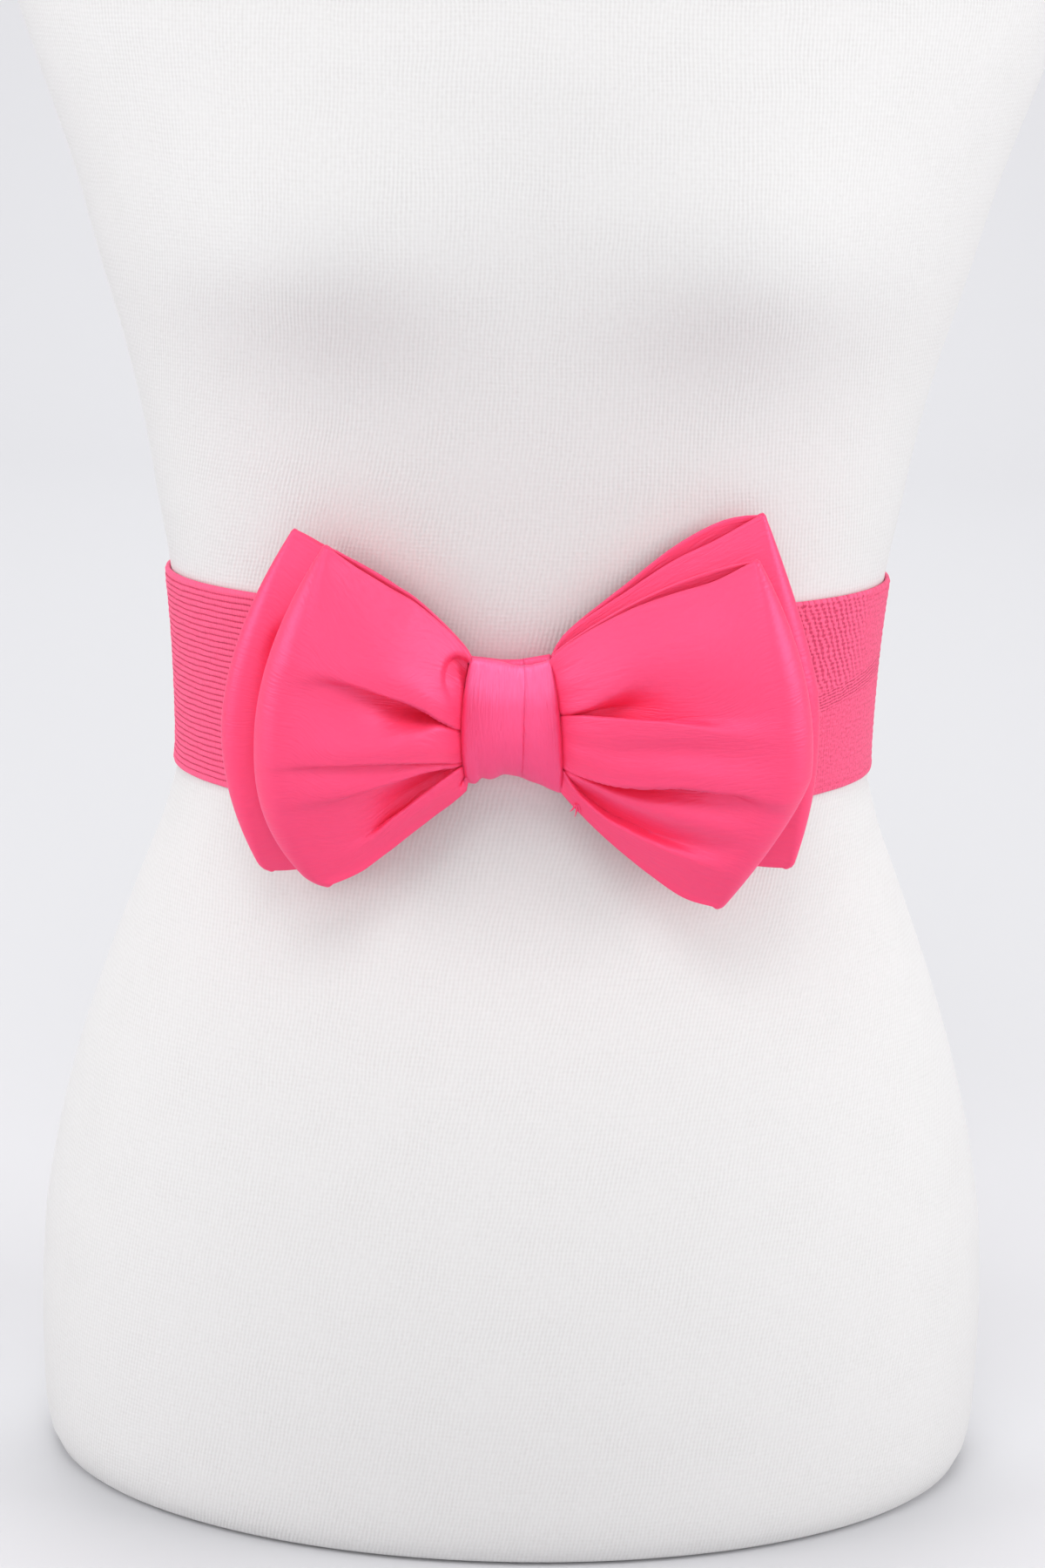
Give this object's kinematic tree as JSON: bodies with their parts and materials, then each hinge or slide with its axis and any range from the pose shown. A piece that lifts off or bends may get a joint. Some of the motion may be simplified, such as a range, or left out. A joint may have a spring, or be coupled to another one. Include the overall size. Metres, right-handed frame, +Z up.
{
  "type": "bow waist belt on dress form",
  "caption": "Wide ribbed elastic waist belt with a double satin bow and wrap at the centre front, worn on a plain limbless dress form.",
  "frame": {"origin": "middle of the footprint of the whole part, on the surface that the form stands on", "axes": "+Z up, -Y towards the front where the bow is, +X towards the viewer's right"},
  "size_m": [0.367, 0.2348, 0.7],
  "materials": {
    "form_cover": "white plain-woven cover, matt",
    "ribbed_elastic": "pink ribbed elastic, matt",
    "bow_satin": "pink satin with a soft sheen"
  },
  "bodies": {
    "root": {"dress_form": "form_cover", "elastic_belt": "ribbed_elastic", "bow_back": "bow_satin", "bow_front": "bow_satin", "bow_wrap": "bow_satin"}
  },
  "joints": []
}
